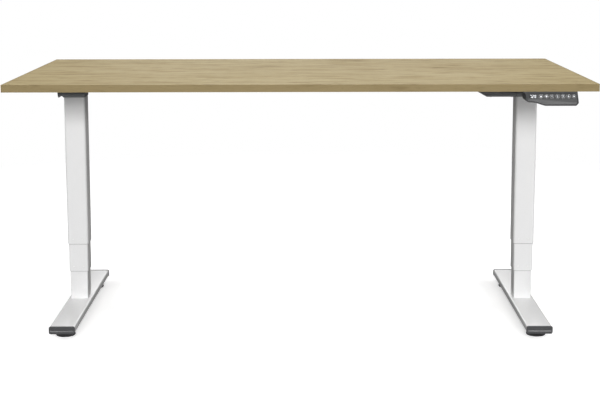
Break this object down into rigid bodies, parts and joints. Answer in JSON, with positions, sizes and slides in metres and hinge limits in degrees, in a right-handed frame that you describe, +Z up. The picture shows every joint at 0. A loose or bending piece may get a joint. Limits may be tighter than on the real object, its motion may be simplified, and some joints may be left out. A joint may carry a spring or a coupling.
{
  "type": "height adjustable standing desk",
  "caption": "Electric sit-stand desk: oak decor top on two telescopic steel columns with T feet, a sloped motor housing and a key handset under the front edge.",
  "frame": {"origin": "on the floor, below the middle of the tabletop", "axes": "+X to the right of a person who sits at the desk, +Y away from that person towards the rear edge, +Z up"},
  "size_m": [1.6, 0.8, 0.729],
  "materials": {
    "oak_board": "oak grain decor laminate, satin",
    "oak_edge": "oak decor edge band",
    "white_steel": "white powder coat, fine texture",
    "white_plastic": "white moulded plastic",
    "dark_steel": "anthracite powder coat",
    "dark_plastic": "anthracite moulded plastic",
    "bright_steel": "ground steel",
    "gear_brass": "machined brass",
    "display": "smoked display window with lit digits",
    "rubber": "black rubber and plastic glide"
  },
  "bodies": {
    "base": {"foot_left": "white_steel", "foot_cap_front_left": "dark_plastic", "foot_cap_rear_left": "dark_plastic", "foot_plate_left": "bright_steel", "inner_tube_left": "white_steel", "screw_tube_nut_left": "dark_plastic", "foot_right": "white_steel", "foot_cap_front_right": "dark_plastic", "foot_cap_rear_right": "dark_plastic", "foot_plate_right": "bright_steel", "inner_tube_right": "white_steel", "screw_tube_nut_right": "dark_plastic"},
    "lifting_top": {"tabletop_board": "oak_board", "edge_band": "oak_edge", "crossbar_front": "dark_steel", "crossbar_rear": "dark_steel", "motor_housing": "dark_steel", "gearmotor": "dark_steel", "control_box": "dark_plastic", "control_box_lid": "dark_plastic", "handset_casing": "dark_plastic", "handset_panel": "dark_plastic", "handset_display": "display", "side_arm_left": "dark_steel", "outer_tube_left": "white_steel", "outer_glide_sleeve_left": "white_plastic", "gearbox_housing_left": "dark_steel", "spindle_bearing_left": "bright_steel", "side_arm_right": "dark_steel", "outer_tube_right": "white_steel", "outer_glide_sleeve_right": "white_plastic", "gearbox_housing_right": "dark_steel", "spindle_bearing_right": "bright_steel"},
    "middle_stage_left": {"middle_tube_left": "white_steel", "middle_glide_sleeve_left": "white_plastic", "spindle_nut_left": "dark_plastic"},
    "spindle_left": {"spindle_left": "bright_steel", "spindle_gear_left": "gear_brass"},
    "screw_tube_left": {"screw_tube_left": "bright_steel"},
    "middle_stage_right": {"middle_tube_right": "white_steel", "middle_glide_sleeve_right": "white_plastic", "spindle_nut_right": "dark_plastic"},
    "spindle_right": {"spindle_right": "bright_steel", "spindle_gear_right": "gear_brass"},
    "screw_tube_right": {"screw_tube_right": "bright_steel"},
    "drive_line": {"drive_shaft": "bright_steel", "shaft_gear_left": "gear_brass", "shaft_gear_right": "gear_brass"},
    "key_up": {"key_up": "dark_plastic"},
    "key_down": {"key_down": "dark_plastic"},
    "key_one": {"key_one": "dark_plastic"},
    "key_two": {"key_two": "dark_plastic"},
    "key_three": {"key_three": "dark_plastic"},
    "key_four": {"key_four": "dark_plastic"},
    "key_memory": {"key_memory": "dark_plastic"},
    "levelling_glide_front_left": {"levelling_glide_front_left": "rubber"},
    "levelling_glide_rear_left": {"levelling_glide_rear_left": "rubber"},
    "levelling_glide_front_right": {"levelling_glide_front_right": "rubber"},
    "levelling_glide_rear_right": {"levelling_glide_rear_right": "rubber"}
  },
  "joints": [
    {"name": "top_lift", "type": "slide", "parent": "base", "child": "lifting_top", "axis": [0, 0, 1], "range_m": [-0.12, 0.53]},
    {"name": "middle_stage_left_lift", "type": "slide", "parent": "base", "child": "middle_stage_left", "axis": [0, 0, 1], "range_m": [-0.06, 0.265]},
    {"name": "spindle_left_turn", "type": "hinge", "parent": "lifting_top", "child": "spindle_left", "pos_m": [-0.669, 0, 0.683], "axis": [0, 0, 1], "continuous": true},
    {"name": "screw_tube_left_turn", "type": "hinge", "parent": "middle_stage_left", "child": "screw_tube_left", "pos_m": [-0.669, 0, 0.34], "axis": [0, 0, 1], "continuous": true},
    {"name": "middle_stage_right_lift", "type": "slide", "parent": "base", "child": "middle_stage_right", "axis": [0, 0, 1], "range_m": [-0.06, 0.265]},
    {"name": "spindle_right_turn", "type": "hinge", "parent": "lifting_top", "child": "spindle_right", "pos_m": [0.669, 0, 0.683], "axis": [0, 0, 1], "continuous": true},
    {"name": "screw_tube_right_turn", "type": "hinge", "parent": "middle_stage_right", "child": "screw_tube_right", "pos_m": [0.669, 0, 0.34], "axis": [0, 0, 1], "continuous": true},
    {"name": "drive_shaft_turn", "type": "hinge", "parent": "lifting_top", "child": "drive_line", "pos_m": [0, 0, 0.683], "axis": [1, 0, 0], "continuous": true},
    {"name": "key_up_press", "type": "slide", "parent": "lifting_top", "child": "key_up", "axis": [0, 1, 0], "range_m": [0, 0.0006], "stiffness_N_per_m": 1500, "springref_m": -0.0003},
    {"name": "key_down_press", "type": "slide", "parent": "lifting_top", "child": "key_down", "axis": [0, 1, 0], "range_m": [0, 0.0006], "stiffness_N_per_m": 1500, "springref_m": -0.0003},
    {"name": "key_one_press", "type": "slide", "parent": "lifting_top", "child": "key_one", "axis": [0, 1, 0], "range_m": [0, 0.0006], "stiffness_N_per_m": 1500, "springref_m": -0.0003},
    {"name": "key_two_press", "type": "slide", "parent": "lifting_top", "child": "key_two", "axis": [0, 1, 0], "range_m": [0, 0.0006], "stiffness_N_per_m": 1500, "springref_m": -0.0003},
    {"name": "key_three_press", "type": "slide", "parent": "lifting_top", "child": "key_three", "axis": [0, 1, 0], "range_m": [0, 0.0006], "stiffness_N_per_m": 1500, "springref_m": -0.0003},
    {"name": "key_four_press", "type": "slide", "parent": "lifting_top", "child": "key_four", "axis": [0, 1, 0], "range_m": [0, 0.0006], "stiffness_N_per_m": 1500, "springref_m": -0.0003},
    {"name": "key_memory_press", "type": "slide", "parent": "lifting_top", "child": "key_memory", "axis": [0, 1, 0], "range_m": [0, 0.0006], "stiffness_N_per_m": 1500, "springref_m": -0.0003},
    {"name": "levelling_glide_front_left_screw", "type": "slide", "parent": "base", "child": "levelling_glide_front_left", "axis": [0, 0, 1], "range_m": [-0.006, 0.006]},
    {"name": "levelling_glide_rear_left_screw", "type": "slide", "parent": "base", "child": "levelling_glide_rear_left", "axis": [0, 0, 1], "range_m": [-0.006, 0.006]},
    {"name": "levelling_glide_front_right_screw", "type": "slide", "parent": "base", "child": "levelling_glide_front_right", "axis": [0, 0, 1], "range_m": [-0.006, 0.006]},
    {"name": "levelling_glide_rear_right_screw", "type": "slide", "parent": "base", "child": "levelling_glide_rear_right", "axis": [0, 0, 1], "range_m": [-0.006, 0.006]}
  ],
  "couplings": [
    {"joint": "middle_stage_left_lift", "follows": "top_lift", "ratio": 0.5},
    {"joint": "spindle_left_turn", "follows": "top_lift", "rad_per_m": 392.7},
    {"joint": "screw_tube_left_turn", "follows": "top_lift", "rad_per_m": 392.7},
    {"joint": "middle_stage_right_lift", "follows": "top_lift", "ratio": 0.5},
    {"joint": "spindle_right_turn", "follows": "top_lift", "rad_per_m": -392.7},
    {"joint": "screw_tube_right_turn", "follows": "top_lift", "rad_per_m": -392.7},
    {"joint": "drive_shaft_turn", "follows": "top_lift", "rad_per_m": 392.7}
  ]
}
